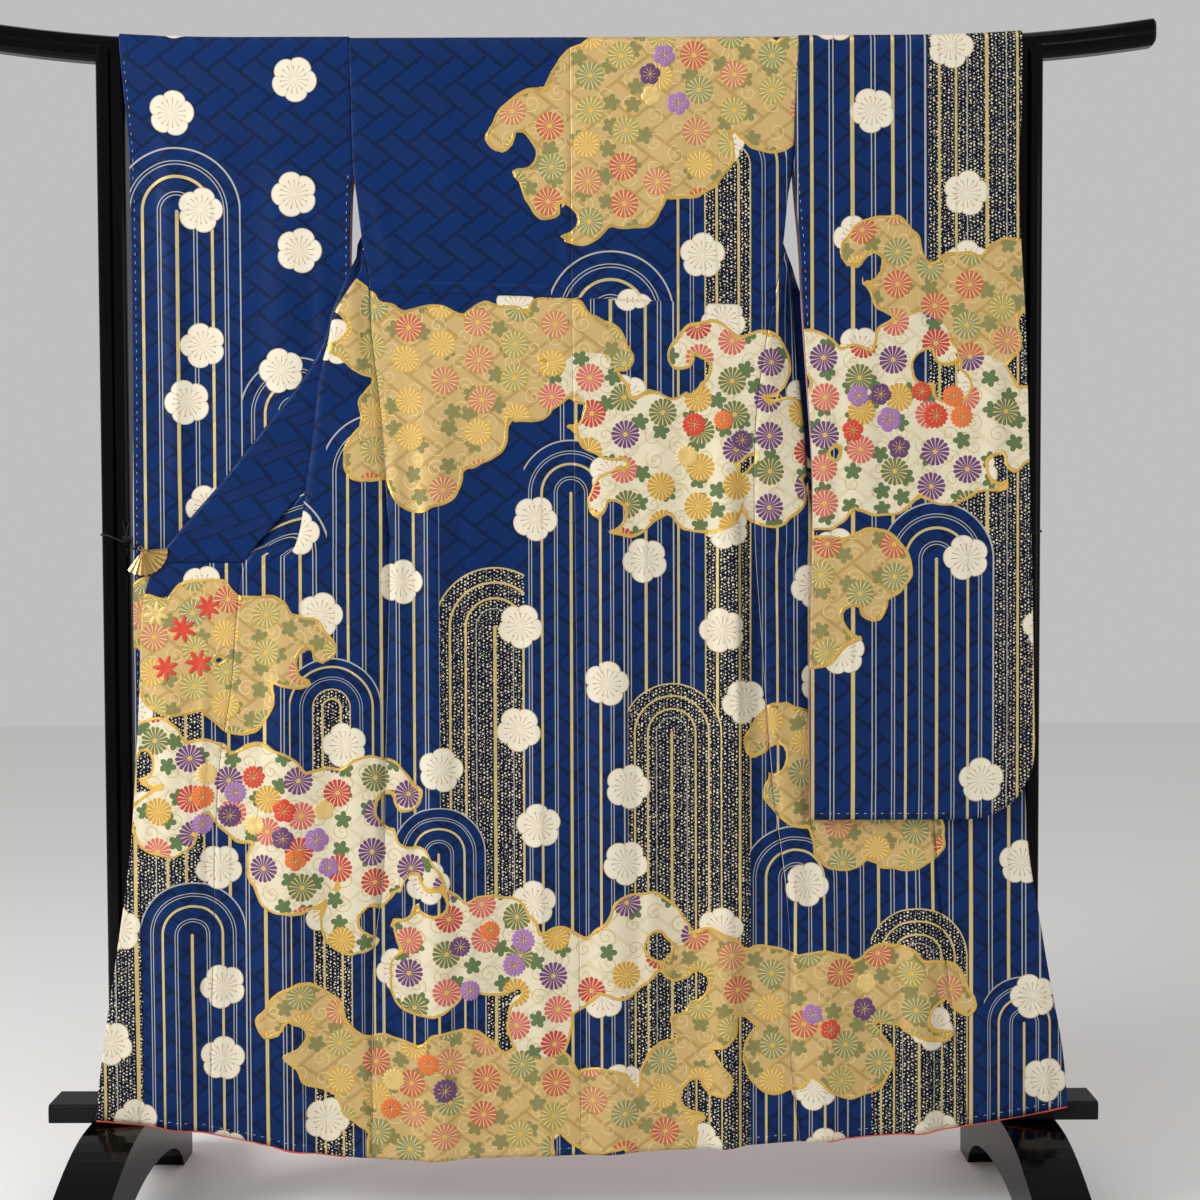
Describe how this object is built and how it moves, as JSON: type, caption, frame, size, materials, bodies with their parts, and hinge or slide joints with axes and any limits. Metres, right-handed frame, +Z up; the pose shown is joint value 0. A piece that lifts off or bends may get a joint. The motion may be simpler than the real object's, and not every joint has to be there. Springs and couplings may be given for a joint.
{
  "type": "furisode kimono on an iko kimono stand",
  "caption": "Long-sleeved formal silk kimono seen from its back, hung over the rail of a lacquered stand, its fronts drawn out sideways and clipped to the posts.",
  "frame": {"origin": "on the floor, below the middle of the stand's whole box", "axes": "+Z up; the garment's back faces -Y; +X to the right as seen facing the garment's back"},
  "size_m": [1.75, 0.548, 1.8054],
  "materials": {
    "silk": "lined figured silk, deep blue, dyed, foiled and embroidered",
    "lacquer": "gloss black lacquer",
    "board_lacquer": "satin black lacquer",
    "gilt": "gilt, softly polished",
    "elastic": "black covered elastic"
  },
  "bodies": {
    "root": {"rail": "lacquer", "post_left": "lacquer", "post_right": "lacquer", "base_board": "board_lacquer", "foot_left": "lacquer", "foot_right": "lacquer", "back_left": "silk", "back_right": "silk", "front_left": "silk", "front_right": "silk", "okumi_left": "silk", "okumi_right": "silk", "collar": "silk", "sleeve_left": "silk", "sleeve_right": "silk", "clip_left": "gilt", "clip_right": "gilt", "clip_loop_left": "elastic", "clip_loop_right": "elastic"}
  },
  "joints": []
}
